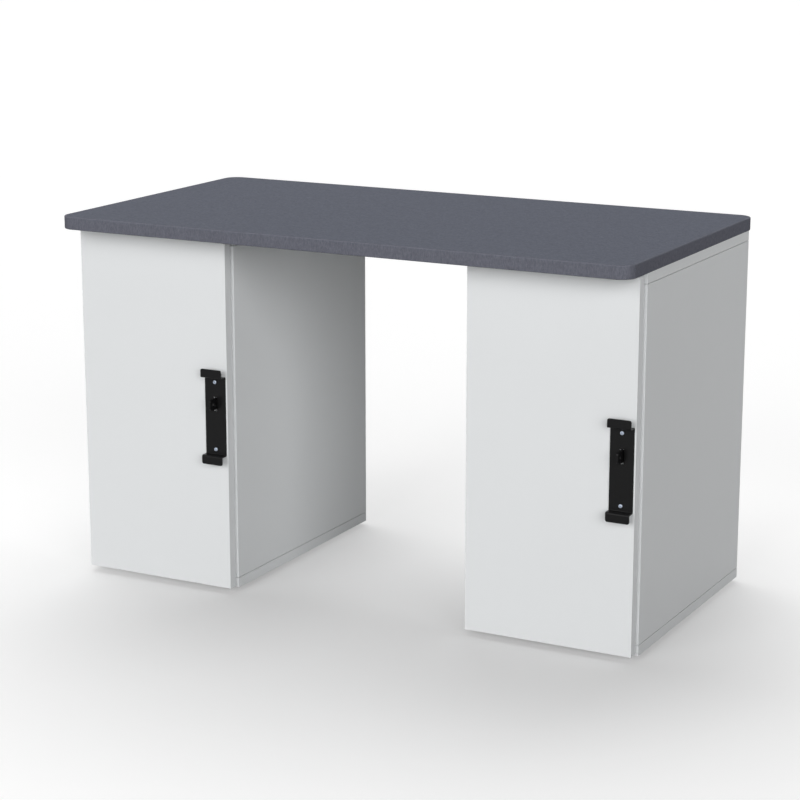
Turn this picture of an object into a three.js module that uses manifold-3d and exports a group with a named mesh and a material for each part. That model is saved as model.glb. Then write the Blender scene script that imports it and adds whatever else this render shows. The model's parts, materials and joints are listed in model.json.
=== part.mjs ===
// Workbench: a laminated worktop on two cabinets, each with one board door.
// A padlock staple on each cabinet reaches out through a slot in its door and handle plate.
// Millimetres, +Z up, +X to the right of a person facing the doors.
// The origin is on the floor under the middle of the worktop.
import * as THREE from "three";
import { mergeVertices } from "three/addons/utils/BufferGeometryUtils.js";
import Module from "manifold-3d";

const wasm = await Module();
wasm.setup();

// Worktop
const worktopLength = 1185;
const worktopDepth = 630;
const worktopThickness = 25;
const worktopCornerRadius = 30;
const worktopArrisRadius = 2;
const laminateThickness = 0.8;
const edgingThickness = 3;
const sideOverhang = 2;
const frontOverhang = 62;

// Cabinets
const cabinetWidth = 340;
const carcassHeight = 697;
const carcassDepth = 519;
const boardThickness = 19;
const backThickness = 8;
const rebateDepth = 9;

// Shelf and its pins
const shelfHeight = 270;
const shelfThickness = 19;
const shelfEndGap = 0.8;
const shelfSetback = 30;
const shelfRearGap = 3;
const shelfPinRadius = 2.5;
const shelfPinDepth = 10;
const shelfPinInset = 40;
const tongueLength = 9;
const tongueWidth = 10;
const tongueThickness = 2.5;

// Floor glides
const glideHeight = 8;
const glideRadius = 15;
const glideInset = 55;

// Doors
const doorThickness = 19;
const doorReveal = 4.5;
const doorGap = 4.5;
const doorBottomGap = 3;
const doorTopGap = 3;
const bumperRadius = 5;
const bumperEdgeInset = 8;
const bumperEndInset = 30;

// Single-pivot cup hinges
const hingeEndDistance = 90;
const pivotInset = 9;
const pivotDepth = 9.5;
const hingePinRadius = 1.3;
const hingePinLength = 19;
const knuckleRadius = 2.6;
const neckReach = 12;
const neckThickness = 3;
const neckBendRadius = 2;
const neckWidth = 10;
const armWidth = 16;
const armLength = 42;
const armSetback = 8;
const cupDiameter = 35;
const cupEdgeDistance = 4;
const cupFloor = 1;
const cupFlangeThickness = 1.2;
const cupFlangeRim = 1.5;
const cupEarLength = 52;
const cupEarWidth = 15;
const cupEarRadius = 5;

// Handle plates
const handleWidth = 45.6;
const handleThickness = 2;
const handleStandoff = 15.5;
const flangeHeight = 16.4;
const handleBendRadius = 1.2;
const handleCornerRadius = 4;
const handleEdgeInset = 3;
const handleScrewSpacing = 133;
const handleScrewMargin = 11;
const screwHeadRadius = 3.7;
const screwHeadHeight = 2.2;
const screwRimHeight = 0.7;
const screwShankRadius = 2;
const screwLength = 14;

// Padlock staples
const stapleThickness = 4;
const stapleHeight = 22;
const stapleReach = 21;
const stapleRaise = 23;
const stapleOffCentre = 1;
const stapleUpperRadius = 4.5;
const stapleLowerRadius = 8;
const stapleHoleRadius = 3.9;
const stapleHoleReach = 10.5;
const stapleBendRadius = 1;
const stapleJogDepth = 16;
const stapleBaseLength = 45;
const slotSideClearance = 2.2;
const slotEndClearance = 3;
const doorSlotMargin = 3;
const doorSlotEndClearance = 1.5;

// Fits
const fitGap = 0.3;
const pinClearance = 0.15;
const pocketClearance = 0.5;
const neckSideClearance = 0.5;
const neckEndClearance = 1.5;

// Facets of round forms
const cornerSteps = 5;
const bendSteps = 4;
const roundFacets = 24;
const smallFacets = 16;

// Finishes, as seen
const finishes = {
  whiteBoard: { color: 0xe2e3e3, roughness: 0.55, metalness: 0 },
  rawBoard: { color: 0xb59a72, roughness: 0.85, metalness: 0 },
  greyLaminate: { color: 0x66707c, roughness: 0.6, metalness: 0 },
  greyEdging: { color: 0x5f6471, roughness: 0.5, metalness: 0 },
  brownBacking: { color: 0x6e5a48, roughness: 0.8, metalness: 0 },
  blackSteel: { color: 0x24262a, roughness: 0.45, metalness: 0.3 },
  zincSteel: { color: 0xb9c2d0, roughness: 0.3, metalness: 1 },
  nickelSteel: { color: 0xc4c4c0, roughness: 0.25, metalness: 1 },
  greyPlastic: { color: 0x8a8c8e, roughness: 0.6, metalness: 0 },
  clearRubber: { color: 0xcfd2d2, roughness: 0.35, metalness: 0 },
};

// Places worked out from the sizes above
const worktopUnderside = glideHeight + carcassHeight;
const carcassFront = -worktopDepth / 2 + frontOverhang + doorThickness + doorGap;
const innerFace = boardThickness;
const oppositeInnerFace = cabinetWidth - boardThickness;
const backFront = carcassDepth - backThickness;
const doorWidth = cabinetWidth - 2 * doorReveal;
const doorHeight = carcassHeight - doorBottomGap - doorTopGap;
const doorLeft = -pivotInset;
const doorRight = doorLeft + doorWidth;
const doorBack = pivotDepth;
const doorFront = doorBack - doorThickness;
const doorMiddle = doorBottomGap + doorHeight / 2;
const handleHeight = handleScrewSpacing + 2 * (handleScrewMargin + flangeHeight);
const handleMiddle = doorRight - handleEdgeInset - handleWidth / 2;
const slotMiddle = doorMiddle + stapleRaise;
const slotWidth = stapleThickness + 2 * slotSideClearance;
const slotHeight = stapleHeight + 2 * slotEndClearance;
const doorSlotWidth = slotWidth + 2 * doorSlotMargin;
const doorSlotHeight = stapleHeight + 2 * (stapleOffCentre + doorSlotEndClearance);
const cupDepth = pivotDepth + knuckleRadius + pocketClearance + cupFloor;
const cupMiddle = doorLeft + cupEdgeDistance + cupDiameter / 2;
const hingeLevels = {
  upper: doorBottomGap + doorHeight - hingeEndDistance,
  lower: doorBottomGap + hingeEndDistance,
};
const screwLevels = {
  upper: doorMiddle + handleScrewSpacing / 2,
  lower: doorMiddle - handleScrewSpacing / 2,
};

// Turns a drawing's plane into the plane named, with the drawing's depth along the third axis.
const drawnOnYZ = new THREE.Matrix4().makeBasis(
  new THREE.Vector3(0, 1, 0),
  new THREE.Vector3(0, 0, 1),
  new THREE.Vector3(1, 0, 0),
);
const drawnOnXZ = new THREE.Matrix4().makeBasis(
  new THREE.Vector3(1, 0, 0),
  new THREE.Vector3(0, 0, 1),
  new THREE.Vector3(0, -1, 0),
);

// Box between two opposite corners.
function block(low, high) {
  const size = high.map((value, axis) => value - low[axis]);
  const middle = high.map((value, axis) => (value + low[axis]) / 2);
  return new THREE.BoxGeometry(...size).translate(...middle);
}

// Straight prism over a flat outline, from depth 0.
function prism(shape, depth) {
  return new THREE.ExtrudeGeometry(shape, { depth, bevelEnabled: false, curveSegments: cornerSteps });
}

// Rods from the origin along +X, +Y or +Z.
function rodAlongX(radius, length, facets) {
  return rodAlongY(radius, length, facets).rotateZ(-Math.PI / 2);
}

function rodAlongY(radius, length, facets) {
  return new THREE.CylinderGeometry(radius, radius, length, facets).translate(0, length / 2, 0);
}

function rodAlongZ(radius, length, facets) {
  return rodAlongY(radius, length, facets).rotateX(Math.PI / 2);
}

// Rectangle about the origin with all four corners rounded.
function roundedRectangle(width, height, radius) {
  const right = width / 2 - radius;
  const top = height / 2 - radius;
  const shape = new THREE.Shape();
  shape.absarc(right, -top, radius, -Math.PI / 2, 0);
  shape.absarc(right, top, radius, 0, Math.PI / 2);
  shape.absarc(-right, top, radius, Math.PI / 2, Math.PI);
  shape.absarc(-right, -top, radius, Math.PI, 1.5 * Math.PI);
  shape.closePath();
  return shape;
}

// Outline of a bent strip of even thickness whose middle line turns at the corners given.
function bentStrip(corners, thickness, insideRadius) {
  const middleRadius = insideRadius + thickness / 2;
  const points = corners.map(([x, y]) => new THREE.Vector2(x, y));
  const left = [];
  const right = [];
  const addSection = (point, along) => {
    const across = new THREE.Vector2(-along.y, along.x).multiplyScalar(thickness / 2);
    left.push(point.clone().add(across));
    right.push(point.clone().sub(across));
  };
  points.forEach((point, index) => {
    const before = points[index - 1];
    const after = points[index + 1];
    const incoming = before && point.clone().sub(before).normalize();
    const outgoing = after && after.clone().sub(point).normalize();
    if (!before || !after) {
      addSection(point, incoming || outgoing);
      return;
    }
    const turn = Math.atan2(incoming.cross(outgoing), incoming.dot(outgoing));
    const tangent = middleRadius * Math.tan(Math.abs(turn) / 2);
    const side = Math.sign(turn) * middleRadius;
    const start = point.clone().addScaledVector(incoming, -tangent);
    const centre = start.clone().add(new THREE.Vector2(-incoming.y, incoming.x).multiplyScalar(side));
    for (let step = 0; step <= bendSteps; step += 1) {
      const angle = (turn * step) / bendSteps;
      addSection(
        start.clone().rotateAround(centre, angle),
        incoming.clone().rotateAround(new THREE.Vector2(), angle),
      );
    }
  });
  return new THREE.Shape([...right, ...left.reverse()]);
}

function toSolid(geometry) {
  const bare = geometry.clone();
  bare.deleteAttribute("normal");
  bare.deleteAttribute("uv");
  const merged = mergeVertices(bare);
  return new wasm.Manifold(
    new wasm.Mesh({
      numProp: 3,
      vertProperties: merged.getAttribute("position").array,
      triVerts: new Uint32Array(merged.getIndex().array),
    }),
  );
}

function toGeometry(solid) {
  const mesh = solid.getMesh();
  const geometry = new THREE.BufferGeometry();
  geometry.setAttribute("position", new THREE.BufferAttribute(mesh.vertProperties, 3));
  geometry.setIndex(new THREE.BufferAttribute(mesh.triVerts, 1));
  geometry.computeVertexNormals();
  return geometry;
}

function join(...geometries) {
  return toGeometry(geometries.map(toSolid).reduce((whole, piece) => whole.add(piece)));
}

function cut(geometry, ...tools) {
  return toGeometry(tools.map(toSolid).reduce((rest, tool) => rest.subtract(tool), toSolid(geometry)));
}

function common(geometry, other) {
  return toGeometry(toSolid(geometry).intersect(toSolid(other)));
}

function addPiece(group, name, geometry, finish) {
  const mesh = new THREE.Mesh(geometry, new THREE.MeshStandardMaterial(finishes[finish]));
  mesh.name = name;
  group.add(mesh);
  return mesh;
}

// Worktop: a raw board with laminate on top, a backing sheet below and edging all round.
function makeWorktop() {
  const worktop = new THREE.Group();
  worktop.position.z = worktopUnderside;
  const outline = roundedRectangle(worktopLength, worktopDepth, worktopCornerRadius);
  const inset = edgingThickness + fitGap;
  const inner = roundedRectangle(
    worktopLength - 2 * inset,
    worktopDepth - 2 * inset,
    worktopCornerRadius - inset,
  );
  const edgingBore = roundedRectangle(
    worktopLength - 2 * edgingThickness,
    worktopDepth - 2 * edgingThickness,
    worktopCornerRadius - edgingThickness,
  );
  const arris = Math.min(worktopArrisRadius, edgingThickness - fitGap);
  const roundedSlab = new THREE.ExtrudeGeometry(outline, {
    depth: worktopThickness - 2 * arris,
    bevelThickness: arris,
    bevelSize: arris,
    bevelOffset: -arris,
    bevelSegments: 2,
    curveSegments: cornerSteps,
  }).translate(0, 0, arris);
  const bore = prism(edgingBore, 3 * worktopThickness).translate(0, 0, -worktopThickness);
  const coreThickness = worktopThickness - 2 * laminateThickness;
  const laminateBottom = worktopThickness - laminateThickness;
  addPiece(worktop, "worktop_edging", cut(roundedSlab, bore), "greyEdging");
  addPiece(worktop, "worktop_backing", prism(inner, laminateThickness), "brownBacking");
  addPiece(worktop, "worktop_core", prism(inner, coreThickness), "rawBoard").position.z = laminateThickness;
  addPiece(worktop, "worktop_laminate", prism(inner, laminateThickness), "greyLaminate").position.z =
    laminateBottom;
  return worktop;
}

// Carcass: the sides stand between a full-width top and bottom, and the back sits in a rebate.
function addCarcass(cabinet, side) {
  const backLow = [innerFace - rebateDepth, backFront, boardThickness - rebateDepth];
  const backHigh = [
    oppositeInnerFace + rebateDepth,
    carcassDepth,
    carcassHeight - boardThickness + rebateDepth,
  ];
  const rebate = block(
    backLow.map((value) => value - fitGap),
    [backHigh[0] + fitGap, carcassDepth + boardThickness, backHigh[2] + fitGap],
  );
  const sideTop = carcassHeight - boardThickness;
  const boards = {
    bottom: block([0, 0, 0], [cabinetWidth, carcassDepth, boardThickness]),
    top: block([0, 0, sideTop], [cabinetWidth, carcassDepth, carcassHeight]),
    left_side: block([0, 0, boardThickness], [innerFace, carcassDepth, sideTop]),
    right_side: block([oppositeInnerFace, 0, boardThickness], [cabinetWidth, carcassDepth, sideTop]),
  };
  const pinHoles = {
    left_side: shelfPinPlaces().filter((place) => place.into < 0),
    right_side: shelfPinPlaces().filter((place) => place.into > 0),
  };
  for (const [name, board] of Object.entries(boards)) {
    const holes = (pinHoles[name] || []).map((place) =>
      rodAlongX(shelfPinRadius + pinClearance, 2 * (shelfPinDepth + fitGap), smallFacets).translate(
        place.x - shelfPinDepth - fitGap,
        place.y,
        place.z,
      ),
    );
    addPiece(cabinet, `${side}_cabinet_${name}`, cut(board, rebate, ...holes), "whiteBoard");
  }
  addPiece(cabinet, `${side}_cabinet_back`, block(backLow, backHigh), "whiteBoard");
}

// Where the four pins enter the sides, on the inner faces; into is the way into the board.
function shelfPinPlaces() {
  const level = boardThickness + shelfHeight - shelfPinRadius;
  const rows = [shelfSetback + shelfPinInset, backFront - shelfRearGap - shelfPinInset];
  return rows.flatMap((y) => [
    { x: innerFace, y, z: level, into: -1 },
    { x: oppositeInnerFace, y, z: level, into: 1 },
  ]);
}

function addShelf(cabinet, side) {
  const underside = boardThickness + shelfHeight;
  const shelf = block(
    [innerFace + shelfEndGap, shelfSetback, underside],
    [oppositeInnerFace - shelfEndGap, backFront - shelfRearGap, underside + shelfThickness],
  );
  addPiece(cabinet, `${side}_cabinet_shelf`, shelf, "whiteBoard");
  shelfPinPlaces().forEach((place, index) => {
    const pin = rodAlongX(shelfPinRadius, shelfPinDepth + tongueLength, smallFacets).translate(
      -tongueLength,
      0,
      0,
    );
    const tongue = block(
      [-tongueLength, -tongueWidth / 2, shelfPinRadius - tongueThickness],
      [0, tongueWidth / 2, shelfPinRadius],
    );
    const support = join(pin, tongue);
    if (place.into < 0) {
      support.rotateZ(Math.PI);
    }
    addPiece(cabinet, `${side}_shelf_pin_${index + 1}`, support, "nickelSteel").position.copy(place);
  });
}

function addGlides(cabinet, side) {
  const columns = [glideInset, cabinetWidth - glideInset];
  const rows = [glideInset, carcassDepth - glideInset];
  let count = 0;
  for (const y of rows) {
    for (const x of columns) {
      count += 1;
      const glide = rodAlongZ(glideRadius, glideHeight, roundFacets);
      addPiece(cabinet, `${side}_glide_${count}`, glide, "greyPlastic").position.set(x, y, -glideHeight);
    }
  }
}

// Staple: a joggled strap from the right side's inner face out through the door, with a shackle hole.
function addStaple(cabinet, side) {
  const toCabinet = (x) => x + doorReveal + pivotInset;
  const tabMiddle = toCabinet(handleMiddle);
  const plateFront = -doorGap - doorThickness - handleThickness;
  const tip = plateFront - stapleReach;
  const baseMiddle = oppositeInnerFace - stapleThickness / 2;
  const bottom = slotMiddle - stapleHeight / 2 + stapleOffCentre;
  const top = bottom + stapleHeight;
  const end = stapleJogDepth + stapleBaseLength;
  const strap = prism(
    bentStrip(
      [
        [tabMiddle, tip],
        [tabMiddle, stapleJogDepth],
        [baseMiddle, stapleJogDepth],
        [baseMiddle, end],
      ],
      stapleThickness,
      stapleBendRadius,
    ),
    stapleHeight,
  ).translate(0, 0, bottom);
  const profile = new THREE.Shape();
  profile.moveTo(end + stapleThickness, bottom);
  profile.lineTo(end + stapleThickness, top);
  profile.absarc(tip + stapleUpperRadius, top - stapleUpperRadius, stapleUpperRadius, Math.PI / 2, Math.PI);
  profile.absarc(
    tip + stapleLowerRadius,
    bottom + stapleLowerRadius,
    stapleLowerRadius,
    Math.PI,
    1.5 * Math.PI,
  );
  profile.closePath();
  const sideView = prism(profile, cabinetWidth).applyMatrix4(drawnOnYZ);
  const hole = rodAlongX(stapleHoleRadius, 3 * stapleThickness, roundFacets).translate(
    tabMiddle - 1.5 * stapleThickness,
    plateFront - stapleHoleReach,
    bottom + stapleHeight / 2,
  );
  addPiece(cabinet, `${side}_staple`, cut(common(strap, sideView), hole), "blackSteel");
}

// Hinge arm: a block on the left side's inner face with a bent neck that ends in a knuckle round the pin.
function addHingeArm(cabinet, side, level, height) {
  const base = innerFace - doorReveal - pivotInset;
  const armFront = pivotDepth + doorGap + armSetback;
  const neckMiddle = neckReach + neckThickness / 2;
  const neck = prism(
    bentStrip(
      [
        [0, 0],
        [neckMiddle, 0],
        [neckMiddle, armFront + neckThickness],
      ],
      neckThickness,
      neckBendRadius,
    ),
    neckWidth,
  ).translate(0, 0, -neckWidth / 2);
  const knuckle = rodAlongZ(knuckleRadius, neckWidth, smallFacets).translate(0, 0, -neckWidth / 2);
  const body = block(
    [base, armFront, -armWidth / 2],
    [neckReach + neckThickness, armFront + armLength, armWidth / 2],
  );
  const bore = rodAlongZ(hingePinRadius + pinClearance, 2 * neckWidth, smallFacets).translate(
    0,
    0,
    -neckWidth,
  );
  const arm = addPiece(
    cabinet,
    `${side}_hinge_arm_${level}`,
    cut(join(neck, knuckle, body), bore),
    "nickelSteel",
  );
  arm.position.set(doorReveal + pivotInset, -doorGap - pivotDepth, height);
}

// Hinge cup: sunk in the door's back, with a pocket for the arm's neck and a bore for the pin.
function addHingeCup(door, side, level, height) {
  const radius = cupDiameter / 2 - fitGap;
  const floor = doorBack - cupDepth;
  const bowl = rodAlongY(radius, cupDepth + cupFlangeThickness, roundFacets).translate(cupMiddle, floor, 0);
  const rim = rodAlongY(cupDiameter / 2 + cupFlangeRim, cupFlangeThickness, roundFacets).translate(
    cupMiddle,
    doorBack,
    0,
  );
  const ears = prism(roundedRectangle(cupEarWidth, cupEarLength, cupEarRadius), cupFlangeThickness)
    .applyMatrix4(drawnOnXZ)
    .translate(cupMiddle, doorBack + cupFlangeThickness, 0);
  const pocket = block(
    [-knuckleRadius - pocketClearance, floor + cupFloor, -neckWidth / 2 - neckSideClearance],
    [neckReach + neckThickness + neckEndClearance, doorBack + cupDepth, neckWidth / 2 + neckSideClearance],
  );
  const bore = rodAlongZ(hingePinRadius + pinClearance, 2 * cupDiameter, smallFacets).translate(
    0,
    0,
    -cupDiameter,
  );
  const cup = addPiece(
    door,
    `${side}_hinge_cup_${level}`,
    cut(join(bowl, rim, ears), pocket, bore),
    "nickelSteel",
  );
  cup.position.z = height;
  const pin = rodAlongZ(hingePinRadius, hingePinLength, smallFacets);
  addPiece(door, `${side}_hinge_pin_${level}`, pin, "nickelSteel").position.z = height - hingePinLength / 2;
}

// Handle: a flat plate whose ends step out into finger flanges, with a slot for the staple.
function addHandle(door, side) {
  const flatMiddle = -handleThickness / 2;
  const flangeMiddle = flatMiddle - handleStandoff;
  const webLevel = handleHeight / 2 - flangeHeight;
  const strip = bentStrip(
    [
      [flangeMiddle, -handleHeight / 2],
      [flangeMiddle, -webLevel],
      [flatMiddle, -webLevel],
      [flatMiddle, webLevel],
      [flangeMiddle, webLevel],
      [flangeMiddle, handleHeight / 2],
    ],
    handleThickness,
    handleBendRadius,
  );
  const bentPlate = prism(strip, handleWidth).applyMatrix4(drawnOnYZ).translate(-handleWidth / 2, 0, 0);
  const frontView = prism(
    roundedRectangle(handleWidth, handleHeight, handleCornerRadius),
    4 * handleStandoff,
  )
    .applyMatrix4(drawnOnXZ)
    .translate(0, 2 * handleStandoff, 0);
  const slot = block(
    [-slotWidth / 2, -2 * handleThickness, stapleRaise - slotHeight / 2],
    [slotWidth / 2, handleThickness, stapleRaise + slotHeight / 2],
  );
  const screwHoles = Object.values(screwLevels).map((level) =>
    screwHole(3 * handleThickness).translate(0, -2 * handleThickness, level - doorMiddle),
  );
  const plate = cut(common(bentPlate, frontView), slot, ...screwHoles);
  addPiece(door, `${side}_handle`, plate, "blackSteel").position.set(handleMiddle, doorFront, doorMiddle);
  for (const [level, height] of Object.entries(screwLevels)) {
    const screw = addPiece(door, `${side}_handle_screw_${level}`, makeScrew(), "zincSteel");
    screw.position.set(handleMiddle, doorFront - handleThickness, height);
  }
}

// Clearance hole for a handle screw, along +Y from the origin.
function screwHole(length) {
  return rodAlongY(screwShankRadius + fitGap, length, smallFacets);
}

// Pan-head screw with the underside of its head at the origin and its shank along +Y.
function makeScrew() {
  const crownHeight = screwHeadHeight - screwRimHeight;
  const crown = new THREE.EllipseCurve(0, -screwRimHeight, screwHeadRadius, crownHeight, -Math.PI / 2, 0);
  const profile = [
    new THREE.Vector2(0, -screwHeadHeight),
    ...crown.getPoints(bendSteps).slice(1),
    new THREE.Vector2(screwHeadRadius, 0),
    new THREE.Vector2(screwShankRadius, 0),
    new THREE.Vector2(screwShankRadius, screwLength),
    new THREE.Vector2(0, screwLength),
  ];
  return new THREE.LatheGeometry(profile, smallFacets);
}

// Door board with bores for the cups, holes for the handle screws and a routed slot for the staple.
function addDoorBoard(door, side) {
  const board = block(
    [doorLeft, doorFront, doorBottomGap],
    [doorRight, doorBack, doorBottomGap + doorHeight],
  );
  const cupBores = Object.values(hingeLevels).map((height) =>
    rodAlongY(cupDiameter / 2, 2 * cupDepth, roundFacets).translate(
      cupMiddle,
      doorBack - cupDepth - fitGap,
      height,
    ),
  );
  const screwHoles = Object.values(screwLevels).map((height) =>
    screwHole(screwLength).translate(handleMiddle, doorFront - handleThickness + fitGap, height),
  );
  const slotOutline = roundedRectangle(doorSlotWidth, doorSlotHeight, doorSlotWidth / 2 - fitGap);
  const slot = prism(slotOutline, 2 * doorThickness)
    .applyMatrix4(drawnOnXZ)
    .translate(handleMiddle, doorBack + doorThickness / 2, slotMiddle);
  addPiece(door, `${side}_door`, cut(board, slot, ...cupBores, ...screwHoles), "whiteBoard");
}

function addBumpers(door, side) {
  const levels = {
    upper: doorBottomGap + doorHeight - bumperEndInset,
    lower: doorBottomGap + bumperEndInset,
  };
  for (const [level, height] of Object.entries(levels)) {
    const bumper = rodAlongY(bumperRadius, doorGap - fitGap, smallFacets);
    addPiece(door, `${side}_bumper_${level}`, bumper, "clearRubber").position.set(
      doorRight - bumperEdgeInset,
      doorBack,
      height,
    );
  }
}

// Door group: its own origin is the hinge axis, so turning it about -Z opens the door.
function makeDoor(side) {
  const door = new THREE.Group();
  door.position.set(doorReveal + pivotInset, -doorGap - pivotDepth, 0);
  addDoorBoard(door, side);
  addHandle(door, side);
  addBumpers(door, side);
  for (const [level, height] of Object.entries(hingeLevels)) {
    addHingeCup(door, side, level, height);
  }
  return door;
}

// Cabinet group: x from its left face, y from its front edges, z from its underside.
function makeCabinet(side, left) {
  const cabinet = new THREE.Group();
  cabinet.position.set(left, carcassFront, glideHeight);
  addCarcass(cabinet, side);
  addShelf(cabinet, side);
  addGlides(cabinet, side);
  addStaple(cabinet, side);
  for (const [level, height] of Object.entries(hingeLevels)) {
    addHingeArm(cabinet, side, level, height);
  }
  cabinet.add(makeDoor(side));
  return cabinet;
}

const workbench = new THREE.Group();
workbench.name = "workbench";
workbench.add(makeWorktop());
workbench.add(makeCabinet("left", -worktopLength / 2 + sideOverhang));
workbench.add(makeCabinet("right", worktopLength / 2 - sideOverhang - cabinetWidth));

export default workbench;
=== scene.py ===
import json
import math

import bmesh
import bpy
from mathutils import Color, Matrix, Vector

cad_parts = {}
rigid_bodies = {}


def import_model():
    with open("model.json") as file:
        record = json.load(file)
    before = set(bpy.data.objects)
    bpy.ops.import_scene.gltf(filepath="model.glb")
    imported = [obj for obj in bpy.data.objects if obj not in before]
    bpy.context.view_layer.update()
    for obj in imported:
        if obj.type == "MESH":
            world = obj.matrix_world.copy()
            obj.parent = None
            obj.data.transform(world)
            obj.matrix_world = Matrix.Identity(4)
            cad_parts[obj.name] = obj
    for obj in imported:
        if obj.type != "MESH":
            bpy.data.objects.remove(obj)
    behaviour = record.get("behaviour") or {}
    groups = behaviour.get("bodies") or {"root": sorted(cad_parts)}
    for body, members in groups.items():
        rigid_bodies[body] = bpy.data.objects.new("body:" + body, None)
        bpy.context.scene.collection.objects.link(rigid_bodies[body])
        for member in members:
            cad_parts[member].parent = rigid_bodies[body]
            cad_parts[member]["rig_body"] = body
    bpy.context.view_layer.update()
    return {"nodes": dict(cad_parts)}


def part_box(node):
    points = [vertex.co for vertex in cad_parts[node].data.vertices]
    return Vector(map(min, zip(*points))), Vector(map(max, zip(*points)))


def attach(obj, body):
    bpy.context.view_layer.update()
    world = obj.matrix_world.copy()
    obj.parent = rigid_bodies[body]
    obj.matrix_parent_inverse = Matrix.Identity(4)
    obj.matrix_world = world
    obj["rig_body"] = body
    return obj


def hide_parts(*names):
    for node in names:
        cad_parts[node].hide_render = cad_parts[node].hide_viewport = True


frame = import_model()

bl_info = {
    "name": "Workbench with cabinet doors",
    "version": (1, 0, 0),
    "blender": (4, 5, 0),
    "location": "View3D > Sidebar > Workbench",
    "description": "Dresses the packed workbench: eased boards, laminated worktop, handles and hinges",
    "category": "Object",
}

SIDES = ("left", "right")
ENDS = ("upper", "lower")
CORNERS = (1, 2, 3, 4)
BENCH = "bench"
MILLIMETRE = 0.001
WHITE = (1.0, 1.0, 1.0, 1.0)
BLACK = (0.0, 0.0, 0.0, 1.0)

# Width of the camera's sensor in millimetres
SENSOR_WIDTH = 36.0

# Angles in radians, and the distance at which points count as one
QUARTER_TURN = math.pi / 2
SHARP_ANGLE = math.radians(30)
CUT_EDGE_ANGLE = math.radians(40)
HANDLE_SCREW_SPIN = 0.4
FLAT_ANGLE = math.radians(1)
MERGE_DISTANCE = 1e-6

# Steps in a quarter of a round form, and facets round a whole one
WORKTOP_CORNER_STEPS = 24
BEND_STEPS = 8
CROWN_STEPS = 10
GLIDE_STEPS = 6
GLIDE_FACETS = 48
PAN_SCREW_FACETS = 40
SMALL_FACETS = 32
DRILL_FACETS = 24

# Patterns of holes and screws: counts, and distances from the back in millimetres
SPARE_PIN_HOLES = 4
BACK_SCREW_ROWS = 5
STAPLE_SCREW_INSETS = (10, 32)
ARM_SCREW_INSETS = (9, 27)


def leaf(side):
    """Name of the CAD body that a side's door turns with."""
    return f"{side}_door_leaf"


def from_screen(red, green, blue):
    """Linear colour of a screen colour given in steps of 255."""
    shares = (red / 255, green / 255, blue / 255)
    return tuple(Color(shares).from_srgb_to_scene_linear())


def length(name, description, millimetres):
    """Property for a length, set in millimetres and kept in metres."""
    return bpy.props.FloatProperty(
        name=name,
        description=description,
        default=millimetres * MILLIMETRE,
        min=0.0,
        unit="LENGTH",
        precision=5,
    )


def colour(name, description, red, green, blue):
    """Property for a colour, set as it shows on a screen."""
    return bpy.props.FloatVectorProperty(
        name=name,
        description=description,
        default=from_screen(red, green, blue),
        min=0.0,
        max=1.0,
        subtype="COLOR",
    )


def level(name, description, default):
    """Property for a share of full light."""
    return bpy.props.FloatProperty(
        name=name, description=description, default=default, min=0.0, soft_max=1.0
    )


def angle(name, description, degrees):
    """Property for an angle, set in degrees."""
    return bpy.props.FloatProperty(
        name=name, description=description, default=math.radians(degrees), min=0.0, unit="ROTATION"
    )


def direction(name, description, x, y, z):
    """Property for a direction in the bench's frame."""
    return bpy.props.FloatVectorProperty(
        name=name, description=description, default=(x, y, z), subtype="DIRECTION"
    )


def location(name, description, x, y, z):
    """Property for a place in the bench's frame, in metres."""
    return bpy.props.FloatVectorProperty(
        name=name, description=description, default=(x, y, z), subtype="TRANSLATION", unit="LENGTH"
    )


class WorkbenchSizes(bpy.types.PropertyGroup):
    """Sizes of the details that the looks add to the CAD solids."""

    board_arris: length("Board arris", "Rounding on the carcass boards' edges", 0.25)
    board_joint: length("Board joint", "Fine gap where a cabinet's side meets its top and bottom", 1.0)
    door_arris: length("Door arris", "Rounding on the doors' edges", 0.5)
    steel_arris: length("Steel arris", "Rounding on the cut edges of staples and hinges", 0.35)
    handle_arris: length("Handle arris", "Rounding on the cut edges of the handle plates", 0.3)
    worktop_corner: length("Worktop corner", "Radius of the worktop's four corners, seen from above", 30)
    worktop_arris: length("Worktop arris", "Radius of the worktop's upper and lower edges", 2)
    edging_thickness: length("Edging thickness", "Thickness of the band round the worktop", 3)
    seam: length("Laminate seam", "Easing of the laminate where it meets the edging", 0.12)
    sheet_gap: length("Sheet gap", "Clearance between the worktop's sheets and the edging", 0.02)
    handle_thickness: length("Handle thickness", "Thickness of the handle's steel", 2)
    handle_flange: length("Handle flange", "Height of the finger flange at each end", 16.4)
    handle_bend: length("Handle bend", "Inside radius of the handle's bends", 1.2)
    handle_corner: length("Handle corner", "Radius of the handle's corners, seen from the front", 4)
    slot_width: length("Slot width", "Width of the staple slot in the handle", 8.4)
    slot_height: length("Slot height", "Height of the staple slot in the handle", 27.2)
    slot_raise: length("Slot raise", "Height of the slot above the handle's middle", 23.4)
    handle_screw_shank: length("Handle screw shank", "Radius of a handle screw's shank", 2)
    handle_screw_length: length("Handle screw length", "Length of a handle screw under its head", 14)
    small_screw_head: length("Small screw head", "Radius of the hinge, staple and back screws", 3.4)
    pin_hole: length("Pin hole", "Width of a hole for a shelf pin", 5)
    pin_hole_depth: length("Pin hole depth", "Depth of a hole for a shelf pin", 9)
    pin_hole_spacing: length("Pin hole spacing", "Distance from one hole to the next above it", 32)
    staple_thickness: length("Staple thickness", "Thickness of the staple's steel", 4)


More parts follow.
